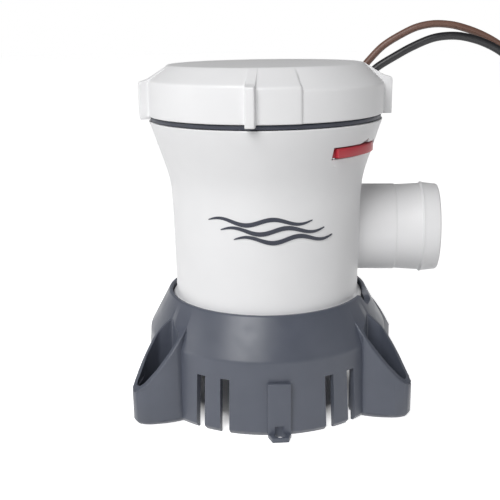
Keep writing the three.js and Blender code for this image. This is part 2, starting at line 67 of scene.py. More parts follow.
ring_low, ring_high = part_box("seal_ring")
AXIS_X = (ring_low.x + ring_high.x) / 2

# ------------------------------------------------------------------ driving dimensions, from the frame
CAP_TOP_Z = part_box("cap")[1].z / MM
CAP_BOTTOM_Z = ring_high.z / MM + 0.15
PLUG_BOTTOM_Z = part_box("cap")[0].z / MM
NECK_TOP_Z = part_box("housing")[1].z / MM
HOUSING_BOTTOM_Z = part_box("housing")[0].z / MM
BASE_RIM_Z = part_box("strainer_base")[1].z / MM
OUTLET_END = (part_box("housing")[1].x - AXIS_X) / MM

CAP_TOP_R = 32.2
CAP_BORE_SHOULDER_Z = CAP_TOP_Z - 8
RIB_R = 42.1
RIB_WIDTH = 3.0
RIB_SHOULDER_Z = CAP_TOP_Z - 5.1
RIB_BOTTOM_Z = CAP_BOTTOM_Z - 0.8
RIB_TURNS = (-161.5, -92.8, 3.5, 87)
# The cap's panels: where each ends, its radius and how far its shoulder is below the top.
CAP_PANELS = (
    (-92.8, 39.3, 4.9), (-70.3, 39.8, 5.5), (3.5, 39.1, 6.5), (87, 39.3, 4.9), (109.5, 39.8, 5.5),
    (198.5, 39.1, 6.5),
)
PANEL_STEP = 1.2  # degrees over which one panel leads to the next where no rib parts them
PLUG_R = 32.0
PLUG_BORE_R = 29.2
RING_R = 38.4
NECK_TOP_R = 38.9
BARREL_R = 32.0
BARREL_FOOT_R = 31.6
BARREL_BORE_R = 29.6
FLANGE_R = 33.0
FLANGE_TOP_Z = 35.6
SEAL_BORE_R = 32.4
OUTLET_Y = 13.0
OUTLET_Z = 55.5
OUTLET_R = 15.27
OUTLET_BORE_R = 12.1
LEVER_TURN = -49.7
LEVER_Z = 87.7
LEVER_PIN_R = 34.4
LEVER_HALF_HEIGHT = 1.5
LEVER_BACK_R = 34.95
LEVER_FACE_R = 37.25
LEVER_EYE_R = 1.15
PIN_HOLE_R = 0.62
BASE_TURN = 8.2
BASE_RIM_R = 34.3
BASE_SHOULDER_Z = 24.3
BASE_SHOULDER_R = 41.3
BASE_R = 42.8
BASE_CHAMFER = 1.6
BASE_WALL = 1.9
FOOT_TURNS = (-57.1, 53.4, 116.1, 227.8)
FOOT_SIDES = (-1, 1, -1, 1)
FOOT_DRAFT = 0.0076
FOOT_FLOOR = 3.0
SLOT_TURNS = (-35.4, -23.7, 23.1, 34.8, 79.2, 90.6, 144.9, 156.6, 203.4, 215.1, 255, 266.4, 277.8)
LEDGE_TURNS = (-85, -28, 0, 28, 85, 148, 180, 212)
SLOT_WIDTH = 3.1
SLOT_TOP_Z = 18.3
NOTCH_TURN = 70.8
NOTCH_Z = 33.5
LUG_REACH = 46.9
LUG_WIDTH = 7.35
LUG_THICKNESS = 1.6
LUG_HOLE_AT = 44.6
LUG_HOLE_R = 1.7
SHELL_R = 24.0
INLET_R = 10.5
SHELL_FLOOR_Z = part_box("motor_shell")[0].z / MM


# ------------------------------------------------------------------ camera
CAMERA_PLACE = (17.2, -281.0, 125.3)
CAMERA_LENS = 59.9
CAMERA_TILT = 15.01  # degrees below the level
CAMERA_PAN = 4.69
CAMERA_ROLL = -0.86


def make_camera():
    """At the photograph's viewing angle: just above the cap's height, looking slightly down."""
    data = bpy.data.cameras.new("camera")
    data.sensor_width = 36
    data.lens = CAMERA_LENS
    camera = bpy.data.objects.new("camera", data)
    bpy.context.scene.collection.objects.link(camera)
    right, back, up = CAMERA_PLACE
    camera.location = (AXIS_X + right * MM, back * MM, up * MM)
    aim = Euler((math.radians(90 - CAMERA_TILT), 0, math.radians(CAMERA_PAN))).to_matrix()
    roll = Matrix.Rotation(math.radians(CAMERA_ROLL), 3, "Z")
    camera.rotation_euler = (aim @ roll).to_euler()
    bpy.context.scene.camera = camera


make_camera()


# ------------------------------------------------------------------ mesh tools
def make_object(name, points, faces):
    """A mesh object from points in millimetres from the pump's axis."""
    points = np.asarray(points, float) * MM + np.array([AXIS_X, 0, 0])
    mesh = bpy.data.meshes.new(name)
    mesh.from_pydata(points.tolist(), [], faces)
    mesh.validate()
    piece = bpy.data.objects.new(name, mesh)
    bpy.context.scene.collection.objects.link(piece)
    return piece


def rounded(corners, arc=6, straight=4):
    """An open path through [a, b, radius] corners, each cut back by its radius and rounded off.
    Every path with the same number of corners has the same number of points."""
    pts = [np.array(c[:2], float) for c in corners]
    path = [pts[0]]
    start = pts[0]
    for i in range(1, len(pts)):
        end = pts[i]
        cut = None
        if i < len(pts) - 1:
            r = corners[i][2]
            before = (pts[i - 1] - pts[i]) / max(np.linalg.norm(pts[i - 1] - pts[i]), 1e-9)
            after = (pts[i + 1] - pts[i]) / max(np.linalg.norm(pts[i + 1] - pts[i]), 1e-9)
            cut = (pts[i] + before * r, pts[i], pts[i] + after * r)
            end = cut[0]
        for k in range(1, straight + 1):
            path.append(start + (end - start) * k / straight)
        if cut is not None:
            for k in range(1, arc + 1):
                t = k / arc
                path.append((1 - t) ** 2 * cut[0] + 2 * t * (1 - t) * cut[1] + t * t * cut[2])
            start = path[-1]
    return np.array(path)


def clean(path):
    """The path without repeated points."""
    kept = [path[0]]
    for p in path[1:]:
        if np.linalg.norm(p - kept[-1]) > 1e-4:
            kept.append(p)
    return np.array(kept)


def closed_outline(corners, arc=4):
    """A closed section of [a, b, radius] corners, every one rounded."""
    first, last = corners[0], corners[-1]
    middle = [(first[0] + last[0]) / 2, (first[1] + last[1]) / 2, 0]
    return clean(rounded([middle, *corners, middle], arc, 1))[:-1]


def lathe(name, section, sides=160, closed=True):
    """A body of revolution about the pump's axis from its (r, z) section. A closed section makes a
    ring; an open one starts and ends on the axis."""
    section = np.asarray(section, float)
    angles = np.arange(sides) * 2 * math.pi / sides
    rows = len(section)
    points = []
    first = []
    for r, z in section:
        first.append(len(points))
        if r < 1e-6:
            points.append((0, 0, z))
        else:
            points += [(r * math.cos(a), r * math.sin(a), z) for a in angles]
    faces = []
    for i in range(rows if closed else rows - 1):
        a, b = i, (i + 1) % rows
        for k in range(sides):
            m = (k + 1) % sides
            ends_a = [first[a] + k, first[a] + m] if section[a][0] >= 1e-6 else [first[a]]
            ends_b = [first[b] + m, first[b] + k] if section[b][0] >= 1e-6 else [first[b]]
            faces.append(ends_a + ends_b)
    return fix_normals(make_object(name, points, faces))


def fix_normals(piece):
    """Faces point outwards."""
    bm = bmesh.new()
    bm.from_mesh(piece.data)
    bmesh.ops.recalc_face_normals(bm, faces=bm.faces)
    bm.to_mesh(piece.data)
    bm.free()
    return piece


def prism(name, outline, low, high):
    """A flat (x, y) outline raised from one height to another."""
    n = len(outline)
    points = [(x, y, low) for x, y in outline] + [(x, y, high) for x, y in outline]
    faces = [list(range(n))[::-1], list(range(n, 2 * n))]
    faces += [[i, (i + 1) % n, n + (i + 1) % n, n + i] for i in range(n)]
    return fix_normals(make_object(name, points, faces))


def box(name, x, y, z, cx, cy, cz):
    left, right, front, back = cx - x / 2, cx + x / 2, cy - y / 2, cy + y / 2
    corners = [(left, front), (right, front), (right, back), (left, back)]
    return prism(name, corners, cz - z / 2, cz + z / 2)


def transform(piece, matrix):
    """Moves the mesh by a matrix in millimetres about the pump's axis."""
    to_axis = Matrix.Translation((AXIS_X, 0, 0)) @ Matrix.Scale(MM, 4)
    piece.data.transform(to_axis @ matrix @ to_axis.inverted())
    return piece


def spun(piece, degrees):
    return transform(piece, Matrix.Rotation(math.radians(degrees), 4, "Z"))


def evaluated(piece):
    """Applies the piece's modifiers to its mesh."""
    bpy.context.view_layer.update()
    graph = bpy.context.evaluated_depsgraph_get()
    mesh = bpy.data.meshes.new_from_object(piece.evaluated_get(graph))
    old = piece.data
    piece.modifiers.clear()
    piece.data = mesh
    bpy.data.meshes.remove(old)
    return piece


def combine(piece, other, how):
    """Joins, cuts or intersects the piece with another, which is used up."""
    modifier = piece.modifiers.new(how, "BOOLEAN")
    modifier.operation = how
    modifier.solver = "MANIFOLD"
    modifier.object = other
    evaluated(piece)
    bpy.data.objects.remove(other)
    return piece


def soften(piece, width, segments=3, angle=30):
    """Rounds the moulded edges, then shades the piece smooth except over sharp corners."""
    weld = piece.modifiers.new("weld", "WELD")
    weld.merge_threshold = 0.02 * MM
    evaluated(piece)
    faces = [polygon.vertices[:] for polygon in piece.data.polygons]
    surface = BVHTree.FromPolygons([vertex.co for vertex in piece.data.vertices], faces)
    bevel = piece.modifiers.new("bevel", "BEVEL")
    bevel.width = width * MM
    bevel.segments = segments
    bevel.limit_method = "ANGLE"
    bevel.angle_limit = math.radians(angle)
    bevel.use_clamp_overlap = False
    evaluated(piece)
    # Corners that the rounding threw off the surface go back onto it.
    for vertex in piece.data.vertices:
        place, normal, face, distance = surface.find_nearest(vertex.co)
        if distance > 0.45 * width * MM:
            vertex.co = place
    return shade(piece)


def shade(piece, angle=40):
    piece.data.shade_smooth()
    piece.data.set_sharp_from_angle(angle=math.radians(angle))
    return piece


def sector(name, start, stop, steps, section):
    """A section that a function gives at each step, swept round the pump's axis."""
    points = []
    for i in range(steps + 1):
        angle = math.radians(start + (stop - start) * i / steps)
        ring = section(i / steps)
        points += [(r * math.cos(angle), r * math.sin(angle), z) for r, z in ring]
    n = len(ring)
    faces = [list(range(n)), list(range(n * steps, n * (steps + 1)))[::-1]]
    for i in range(steps):
        for k in range(n):
            m = (k + 1) % n
            faces.append([n * i + k, n * i + m, n * (i + 1) + m, n * (i + 1) + k])
    return fix_normals(make_object(name, points, faces))


def tube(name, path, radii, sides=16):
    """A round tube along a path of points in millimetres, closed at both ends."""
    path = np.asarray(path, float)
    radii = np.broadcast_to(radii, len(path))
    tangents = np.gradient(path, axis=0)
    tangents /= np.linalg.norm(tangents, axis=1)[:, None]
    side = np.cross(tangents[0], [0.3, 0.2, 1.0])
    side /= np.linalg.norm(side)
    points = []
    for p, t, r in zip(path, tangents, radii):
        side = side - t * (side @ t)
        side /= np.linalg.norm(side)
        up = np.cross(t, side)
        for k in range(sides):
            a = 2 * math.pi * k / sides
            points.append(p + r * (math.cos(a) * side + math.sin(a) * up))
    n = len(path)
    faces = [list(range(sides))[::-1], list(range(sides * (n - 1), sides * n))]
    for i in range(n - 1):
        for k in range(sides):
            m = (k + 1) % sides
            faces.append([sides * i + k, sides * i + m, sides * (i + 1) + m, sides * (i + 1) + k])
    return fix_normals(make_object(name, points, faces))


# ------------------------------------------------------------------ materials
def node_material(name):
    material = bpy.data.materials.new(name)
    material.use_nodes = True
    tree = material.node_tree
    return material, tree, tree.nodes["Principled BSDF"]


def noise(tree, coordinates, scale, detail=2.0):
    node = tree.nodes.new("ShaderNodeTexNoise")
    node.inputs["Scale"].default_value = scale
    node.inputs["Detail"].default_value = detail
    tree.links.new(coordinates.outputs["Object"], node.inputs["Vector"])
    return node


def spread(tree, source, low, high):
    """The noise's middle range stretched to run from low to high."""
    node = tree.nodes.new("ShaderNodeMapRange")
    node.inputs["From Min"].default_value = 0.3
    node.inputs["From Max"].default_value = 0.7
    node.inputs["To Min"].default_value = low
    node.inputs["To Max"].default_value = high
    tree.links.new(source.outputs["Fac"], node.inputs["Value"])
    return node


GRAIN_MM = 0.35


def moulded(name, colour, deep, roughness, grain=0.25):
    """Moulded plastic or rubber: faint mottling, a fine satin grain and slightly uneven gloss."""
    material, tree, shader = node_material(name)
    coordinates = tree.nodes.new("ShaderNodeTexCoord")
    mottle = noise(tree, coordinates, 90, 4)
    ramp = tree.nodes.new("ShaderNodeValToRGB")
    ramp.color_ramp.elements[0].position = 0.3
    ramp.color_ramp.elements[0].color = (*deep, 1)
    ramp.color_ramp.elements[1].position = 0.7
    ramp.color_ramp.elements[1].color = (*colour, 1)
    tree.links.new(mottle.outputs["Fac"], ramp.inputs["Fac"])
    tree.links.new(ramp.outputs["Color"], shader.inputs["Base Color"])
    gloss = spread(tree, noise(tree, coordinates, 260, 3), roughness - 0.04, roughness + 0.05)
    tree.links.new(gloss.outputs["Result"], shader.inputs["Roughness"])
    bump = tree.nodes.new("ShaderNodeBump")
    bump.inputs["Strength"].default_value = grain
    bump.inputs["Distance"].default_value = 0.00003
    fine = noise(tree, coordinates, 1 / (GRAIN_MM * MM), 3)
    tree.links.new(fine.outputs["Fac"], bump.inputs["Height"])
    tree.links.new(bump.outputs["Normal"], shader.inputs["Normal"])
    return material


def metallic(name, colour, roughness):
    """Bare metal: fine uneven polish."""
    material, tree, shader = node_material(name)
    coordinates = tree.nodes.new("ShaderNodeTexCoord")
    shader.inputs["Metallic"].default_value = 1.0
    tint = noise(tree, coordinates, 120, 3)
    ramp = tree.nodes.new("ShaderNodeValToRGB")
    ramp.color_ramp.elements[0].color = (*[c * 0.8 for c in colour], 1)
    ramp.color_ramp.elements[1].color = (*colour, 1)
    tree.links.new(tint.outputs["Fac"], ramp.inputs["Fac"])
    tree.links.new(ramp.outputs["Color"], shader.inputs["Base Color"])
    polish = spread(tree, noise(tree, coordinates, 900, 4), roughness - 0.08, roughness + 0.1)
    tree.links.new(polish.outputs["Result"], shader.inputs["Roughness"])
    return material


LOOKS = {
    "white_plastic": moulded("white_plastic", (0.83, 0.83, 0.838), (0.81, 0.81, 0.82), 0.42, grain=0.12),
    "base_plastic": moulded("base_plastic", (0.09, 0.1, 0.13), (0.08, 0.09, 0.117), 0.36, grain=0.5),
    "ring_plastic": moulded("ring_plastic", (0.03, 0.035, 0.055), (0.022, 0.026, 0.042), 0.45),
    "red_plastic": moulded("red_plastic", (0.5, 0.03, 0.045), (0.42, 0.02, 0.035), 0.36, grain=0.15),
    "grey_plastic": moulded("grey_plastic", (0.25, 0.26, 0.29), (0.21, 0.22, 0.25), 0.5, grain=0.4),
    "black_rubber": moulded("black_rubber", (0.014, 0.014, 0.016), (0.009, 0.009, 0.011), 0.7, grain=0.6),
    "brown_sheath": moulded("brown_sheath", (0.17, 0.09, 0.066), (0.135, 0.068, 0.05), 0.42, grain=0.3),
    "black_sheath": moulded("black_sheath", (0.016, 0.016, 0.019), (0.01, 0.01, 0.012), 0.4, grain=0.3),
    "ferrite": moulded("ferrite", (0.06, 0.06, 0.062), (0.04, 0.04, 0.042), 0.8, grain=0.8),
    "carbon": moulded("carbon", (0.03, 0.03, 0.032), (0.02, 0.02, 0.022), 0.6, grain=0.6),
    "steel": metallic("steel", (0.62, 0.63, 0.65), 0.28),
    "iron": metallic("iron", (0.32, 0.32, 0.34), 0.45),
    "copper": metallic("copper", (0.85, 0.42, 0.22), 0.3),
    "brass": metallic("brass", (0.8, 0.6, 0.28), 0.3),
}


def finish(piece, body, slot, *nodes):
    """Gives a new piece its material, its body and the CAD nodes that it stands for."""
    piece.data.materials.clear()
    piece.data.materials.append(LOOKS[slot])
    if "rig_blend" not in piece:
        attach(piece, body)
    if nodes:
        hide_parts(*nodes)
    return piece


# ------------------------------------------------------------------ leads
LEAD_LENGTH = 880.0
COIL_AT = (132.0, 37.0)
COIL_TURN_R = 15.0
COLUMNS = 4
ENTRY_TURN = -131.0
JOG_TURN = 185.0  # degrees round the coil, where every turn moves over by one diameter
JOG_HALF = 36.0
COIL_STEP = 6.0
TIP_R = 0.7

BROWN_ROUTE = [
    (33.6, 27.4, 110.6), (36.2, 27.5, 113.6), (40.7, 27.6, 118.1), (47.7, 28, 122.3),
    (52.5, 28.2, 124.4), (58.1, 28.6, 125.4), (63.9, 29, 125.1), (69, 29.3, 123.9),
    (76, 29.8, 121.2), (83, 30.2, 117), (90, 30.6, 109.6), (95.2, 31.2, 99),
    (98.6, 32, 86), (100.6, 33, 70), (102, 33.8, 54), (103.6, 34, 38),
    (105.6, 33.4, 22), (108.8, 31.2, 10.4), (113.6, 27.4, 5), (119.6, 22.7, 3.9),
]
BLACK_ROUTE = [
    (35.9, 22.9, 108.6), (38.6, 22.9, 111), (44.6, 23.2, 114.6), (50.6, 23.6, 117.8),
    (57.7, 24, 120.6), (63.4, 24.3, 121.3), (68.4, 24.6, 120.9), (76, 25, 118.6),
    (83, 25.4, 114.6), (89, 25.8, 108), (93.6, 26.4, 98), (96.6, 27.4, 85),
    (98.4, 28.4, 70), (99.8, 29.2, 54), (101.4, 29.6, 38), (103.8, 29.4, 24),
    (107.6, 28.2, 15), (113, 26, 10.8), (119.4, 22.5, 9.9),
]


def catmull(points, per_span=8):
    """A smooth centripetal curve through the points."""
    p = np.asarray(points, float)
    p = np.vstack([2 * p[0] - p[1], p, 2 * p[-1] - p[-2]])
    out = [p[1]]
    for i in range(1, len(p) - 2):
        knots = [0.0]
        for a, b in zip(p[i - 1:i + 2], p[i:i + 3]):
            knots.append(knots[-1] + math.sqrt(np.linalg.norm(b - a)))
        t0, t1, t2, t3 = knots
        for k in range(1, per_span + 1):
            t = t1 + (t2 - t1) * k / per_span
            a1 = (t1 - t) / (t1 - t0) * p[i - 1] + (t - t0) / (t1 - t0) * p[i]
            a2 = (t2 - t) / (t2 - t1) * p[i] + (t - t1) / (t2 - t1) * p[i + 1]
            a3 = (t3 - t) / (t3 - t2) * p[i + 1] + (t - t2) / (t3 - t2) * p[i + 2]
            b1 = (t2 - t) / (t2 - t0) * a1 + (t - t0) / (t2 - t0) * a2
            b2 = (t3 - t) / (t3 - t1) * a2 + (t - t1) / (t3 - t1) * a3
            out.append((t2 - t) / (t2 - t1) * b1 + (t - t1) / (t2 - t1) * b2)
    return np.array(out)


def smooth_step(t):
    t = min(max(t, 0.0), 1.0)
    return t * t * (3 - 2 * t)


def coil_point(turn, diameter, floor_z):
    """A point of the coil after so many degrees from its entry: inwards over the top layer, then
    outwards over the bottom one."""
    jog_start = (JOG_TURN - JOG_HALF) - ENTRY_TURN
    moved = 0.0 if turn < jog_start else (turn - jog_start) // 360 + smooth_step(
        ((turn - jog_start) % 360) / (2 * JOG_HALF))
    outer = COIL_TURN_R + (COLUMNS / 2 - 0.5) * diameter
    top, low = floor_z + 1.5 * diameter, floor_z + 0.5 * diameter
    last = COLUMNS - 1
    if moved <= last:
        r, z = outer - moved * diameter, top
    elif moved <= last + 1:
        drop = moved - last
        r, z = outer - last * diameter - 0.45 * diameter * math.sin(math.pi * drop), top + (low - top) * drop
    else:
        r, z = outer - last * diameter + (moved - last - 1) * diameter, low
    angle = math.radians(ENTRY_TURN + turn)
    return np.array([COIL_AT[0] + r * math.cos(angle), COIL_AT[1] + r * math.sin(angle), z])


def lead_path(route, diameter, floor_z):
    """The centreline of a lead: its free run, then as many turns as the rest of it makes. A second path
    goes on round the coil for the stripped end."""
    path = list(catmull(route))
    length = sum(np.linalg.norm(b - a) for a, b in zip(path, path[1:]))
    turn = COIL_STEP
    while length < LEAD_LENGTH:
        here = coil_point(turn, diameter, floor_z)
        length += np.linalg.norm(here - path[-1])
        path.append(here)
        turn += COIL_STEP
    tip = [coil_point(turn - 9 + 3 * k, diameter, floor_z) for k in range(9)]
    return np.array(path), np.array(tip)


def make_lead(name, route, diameter, floor_z, slot, nodes):
    path, tip_path = lead_path(route, diameter, floor_z)
    lead = shade(tube(name, path, diameter / 2, 14), 60)
    tip = tube(name + "_tip", tip_path, [TIP_R] * 8 + [0.45], 12)
    finish(shade(tip, 50), "lock_ring", "copper")
    # The coil stays on the floor while the cartridge is pulled out.
    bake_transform(lead, "lock_ring", "cartridge", (AXIS_X + 0.1, 0, 0), (AXIS_X + 0.06, 0, 0))
    finish(lead, None, slot, *nodes)


make_lead("lead_brown_wire", BROWN_ROUTE, 2.6, 0.0, "brown_sheath", ("lead_brown", "coil_brown"))
make_lead("lead_black_wire", BLACK_ROUTE, 2.8, 5.5, "black_sheath", ("lead_black", "coil_black"))


# ------------------------------------------------------------------ cap
def panel(degrees):
    """Radius and shoulder height of the cap's panel at an angle. Where a panel doesn't end at a rib, a
    short slanted step leads towards the next one."""
    degrees = (degrees - RIB_TURNS[0]) % 360 + RIB_TURNS[0]
    for here, ahead in zip(CAP_PANELS, CAP_PANELS[1:] + CAP_PANELS[:1]):
        if degrees <= here[0]:
            break
    end, radius, drop = here
    if end not in RIB_TURNS and here is not CAP_PANELS[-1]:
        share = 0.5 * smooth_step((degrees - end + PANEL_STEP) / PANEL_STEP)
        radius += (ahead[1] - radius) * share
        drop += (ahead[2] - drop) * share
    return radius, CAP_TOP_Z - drop


def cap_section(radius, shoulder, rib=False):
    """Half of the cap's section, from the middle of its top down and back in under it."""
    inner = CAP_TOP_Z - 3
    middle = ((CAP_TOP_R + radius) / 2, (CAP_TOP_Z + shoulder) / 2, 0.1)
    if rib:
        middle = (39.3, CAP_TOP_Z - 4.3, 0.3)
    bottom = RIB_BOTTOM_Z if rib else CAP_BOTTOM_Z
    return rounded([
        (0, CAP_TOP_Z, 0),
        (CAP_TOP_R, CAP_TOP_Z, 0.7),
        middle,
        (radius, shoulder, 0.7),
        (radius, bottom, 0.4),
        (38.8, bottom, 0.05),
        (38.7, CAP_BOTTOM_Z, 0.05),
        (PLUG_R, CAP_BOTTOM_Z, 0.1),
        (PLUG_R, 92.6, 0.15),
        (PLUG_R - 1.4, 92.6, 0.15),
        (PLUG_R - 1.4, 90.6, 0.15),
        (PLUG_R, 90.6, 0.15),
        (PLUG_R, PLUG_BOTTOM_Z, 0.5),
        (PLUG_BORE_R, PLUG_BOTTOM_Z, 0.4),
        (PLUG_BORE_R, CAP_BORE_SHOULDER_Z, 0.8),
        (28, inner, 0.8),
        (0, inner, 0),
    ], arc=5, straight=5)


def cap_columns():
    """(angle, sideways offset in mm, how far out on a rib) of each line down the cap."""
    half = RIB_WIDTH / 2
    across = [(-half - 1.3, 0), (-half - 0.5, 0.0), (-half - 0.18, 0.03), (-half - 0.02, 0.14), (-half, 0.3),
              (-half + 0.03, 0.9), (-half + 0.14, 0.965), (-half + 0.36, 0.992), (-half + 0.7, 1)]
    across += [(0, 1)] + [(-t, w) for t, w in across[::-1]]
    columns = []
    ribs = sorted(RIB_TURNS)
    for i, turn in enumerate(ribs):
        columns += [(turn, t, w) for t, w in across]
        following = ribs[i + 1] if i + 1 < len(ribs) else ribs[0] + 360
        start, stop = turn + 5.2, following - 5.2
        steps = int((stop - start) / 0.6)
        columns += [(start + (stop - start) * k / steps, 0, 0) for k in range(steps + 1)]
    return columns


def make_cap():
    columns = cap_columns()
    points = [(0, 0, CAP_TOP_Z)]
    rows = None
    for turn, offset, out in columns:
        radius, shoulder = panel(turn + math.degrees(offset / 39.3))
        body = cap_section(radius, shoulder)
        if out > 0:
            body = body * (1 - out) + cap_section(RIB_R, RIB_SHOULDER_Z, True) * out
        rows = len(body)
        for r, z in body[1:-1]:
            angle = math.radians(turn) + math.asin(offset / max(r, CAP_TOP_R))
            points.append((r * math.cos(angle), r * math.sin(angle), z))
    points.append((0, 0, CAP_TOP_Z - 3))
    inner, n, last = rows - 2, len(columns), len(points) - 1
    faces = []
    for c in range(n):
        a, b = 1 + c * inner, 1 + ((c + 1) % n) * inner
        faces.append([0, a, b])
        faces += [[a + k, a + k + 1, b + k + 1, b + k] for k in range(inner - 1)]
        faces.append([a + inner - 1, last, b + inner - 1])
    cap = fix_normals(make_object("twist_cap", points, faces))
    combine(cap, gland_plug("gland_seat", 0.15), "DIFFERENCE")
    return finish(shade(cap, 42), "cartridge", "white_plastic", "cap")


GLAND_AT = Vector((31.2, 25.2, 106.6))
GLAND_AIM = Vector((0.79, 0.1, 0.6)).normalized()


def gland_plug(name, grow=0.0):
    section = rounded([
        (0, -7 - grow, 0),
        (4 + grow, -7 - grow, 0.4),
        (4.4 + grow, 0, 0.5),
        (3.6 + grow, 2.4 + grow, 0.5),
        (0, 2.4 + grow, 0),
    ], 4, 2)
    plug = lathe(name, section, 48, closed=False)
    turn = GLAND_AIM.to_track_quat("Z", "Y").to_matrix().to_4x4()
    return transform(plug, Matrix.Translation(GLAND_AT) @ turn)


def make_gland():
    gland = gland_plug("lead_grommet")
    finish(shade(gland), "cartridge", "black_rubber", "lead_gland")


make_cap()
make_gland()


# ------------------------------------------------------------------ seal ring and O-ring
def make_rings():
    low, high = ring_low.z / MM, ring_high.z / MM
    inner = PLUG_R + 0.6
    section = closed_outline([
        (inner, low, 0.2), (RING_R, low, 0.45), (RING_R, high, 0.45), (inner, high, 0.2),
    ])
    finish(shade(lathe("lock_ring_band", section, 200)), "lock_ring", "ring_plastic", "seal_ring")
    angles = np.arange(20) * 2 * math.pi / 20
    section = np.stack([PLUG_R - 0.45 + 0.78 * np.cos(angles), 91.6 + 0.78 * np.sin(angles)], 1)
    finish(shade(lathe("neck_seal", section, 160)), "cartridge", "black_rubber", "neck_o_ring")


make_rings()


# ------------------------------------------------------------------ housing
def rod_at_pin(name, radius, low, high):
    """An upright rod round the lock lever's pin."""
    rod = lathe(name, [(0, low), (radius, low), (radius, high), (0, high)], 24, closed=False)
    angle = math.radians(LEVER_TURN)
    pin = (LEVER_PIN_R * math.cos(angle), LEVER_PIN_R * math.sin(angle), 0)
    return transform(rod, Matrix.Translation(pin))


def lever_pocket():
    """The slot round the lock lever, with a shallow rise for a fingertip."""
    low, high = LEVER_Z - 2, LEVER_Z + 1.9
    pocket = sector("pocket", LEVER_TURN - 2.6, LEVER_TURN + 37.2, 48,
                    lambda at: [(34.6, low), (43, low), (43, high), (34.6, high)])
    notch = sector("finger_notch", LEVER_TURN + 17, LEVER_TURN + 24.5, 12,
                   lambda at: [(33.7, LEVER_Z), (43, LEVER_Z), (43, high + 1.4 * at),
                               (33.7, high + 1.4 * at)])
    combine(pocket, notch, "UNION")
    return combine(pocket, rod_at_pin("knuckle", 1.5, low, high), "UNION")


def along_outlet(piece):
    place = Matrix.Translation((0, OUTLET_Y, OUTLET_Z))
    return transform(piece, place @ Matrix.Rotation(math.pi / 2, 4, "Y"))


def make_housing():
    barrel = lathe("pump_housing", rounded([
        (0, HOUSING_BOTTOM_Z, 0),
        (FLANGE_R, HOUSING_BOTTOM_Z, 0.4),
        (FLANGE_R, FLANGE_TOP_Z, 0.4),
        (BARREL_FOOT_R, FLANGE_TOP_Z + 1, 0.6),
        (BARREL_R, 66, 4),
        (32.5, 76.2, 5),
        (NECK_TOP_R, NECK_TOP_Z, 0.4),
        (0, NECK_TOP_Z, 0),
    ], 5, 3), 192, closed=False)
    outlet = along_outlet(lathe("outlet", rounded([
        (0, 5, 0),
        (OUTLET_R, 5, 0.1),
        (OUTLET_R, 44.5, 0.2),
        (OUTLET_R - 0.25, 45, 0.2),
        (OUTLET_R + 0.2, 53.3, 0.2),
        (OUTLET_R + 0.8, 53.9, 0.15),
        (OUTLET_R + 0.5, 54.6, 0.3),
        (OUTLET_R - 0.1, OUTLET_END, 0.9),
        (0, OUTLET_END, 0),
    ], 5, 2), 128, closed=False))
    combine(barrel, outlet, "UNION")
    combine(barrel, lathe("hollow", rounded([
        (0, HOUSING_BOTTOM_Z - 1, 0),
        (BARREL_BORE_R, HOUSING_BOTTOM_Z - 1, 0),
        (BARREL_BORE_R, 77, 2),
        (SEAL_BORE_R, 86, 2),
        (SEAL_BORE_R, NECK_TOP_Z + 1, 0),
        (0, NECK_TOP_Z + 1, 0),
    ], 4, 2), 160, closed=False), "DIFFERENCE")
    bore = lathe("bore", [(0, 10), (OUTLET_BORE_R, 10), (OUTLET_BORE_R, 70), (0, 70)], 96, closed=False)
    combine(barrel, along_outlet(bore), "DIFFERENCE")
    soften(barrel, 0.35)
    combine(barrel, lever_pocket(), "DIFFERENCE")
    finish(shade(barrel), "housing", "white_plastic", "housing")


make_housing()


WAVES = ((-121, -60, 67.0), (-113, -52, 64.2), (-105, -46, 61.4))
INK_BACK_R = 31.5
INK_FACE_R = 32.2


def make_pictogram():
    """Three plain wave lines on the barrel's front, in thin raised ink."""
    for number, (start, stop, height) in enumerate(WAVES):

        def section(at, height=height):
            middle = height + 0.9 * math.sin(math.radians(720 * at))
            half = 0.12 + 0.6 * math.sin(math.pi * at) ** 0.6
            low, high = middle - half, middle + half
            return [(INK_BACK_R, low), (INK_FACE_R, low), (INK_FACE_R, high), (INK_BACK_R, high)]

        line = sector(f"wave_line_{number + 1}", start, stop, 96, section)
        finish(shade(line), "housing", "ring_plastic")


make_pictogram()


# ------------------------------------------------------------------ lock lever
def make_lever():
    low, high = LEVER_Z - LEVER_HALF_HEIGHT, LEVER_Z + LEVER_HALF_HEIGHT

    def section(at):
        flare = 0.4 * smooth_step((at - 0.8) / 0.2)
        outer = LEVER_FACE_R + 0.15 * math.sin(math.pi * at) - flare
        face = [(outer, low), (outer, (low + high) / 2), (outer - 0.25, high)]
        return [(LEVER_BACK_R, low), *face, (LEVER_BACK_R, high)]

    lever = sector("red_lock_lever", LEVER_TURN - 0.6, LEVER_TURN + 34.2, 48, section)
    combine(lever, rod_at_pin("eye", LEVER_EYE_R, low, high), "UNION")
    soften(lever, 0.35)
    combine(lever, rod_at_pin("pin_hole", PIN_HOLE_R, low - 1, high + 1), "DIFFERENCE")
    finish(lever, "lever", "red_plastic", "lock_lever")


make_lever()


# ------------------------------------------------------------------ strainer base
FOOT_PLAN = [(35.5, 6.6), (41.5, 9.0), (47.2, 7.3), (53.4, 3.5), (54.8, 1.0)]
FOOT_ROUNDING = [0, 2.6, 2.6, 2.4, 0.9]
FOOT_TOP = [
    (30, 34.8, 0), (34, 34.8, 0.5), (36.9, 31.7, 1), (41.7, 27.2, 3), (52.6, 13.7, 2.4), (54.9, 11.8, 0.6),
]
FOOT_POCKET = [(41.5, 7.2), (47, 5.4), (52.1, 2.2), (53.2, 1)]


def drafted(piece):
    """Narrows a foot or its pocket towards the top."""
    for vertex in piece.data.vertices:
        vertex.co.y *= 1 - FOOT_DRAFT * vertex.co.z / MM
    return piece


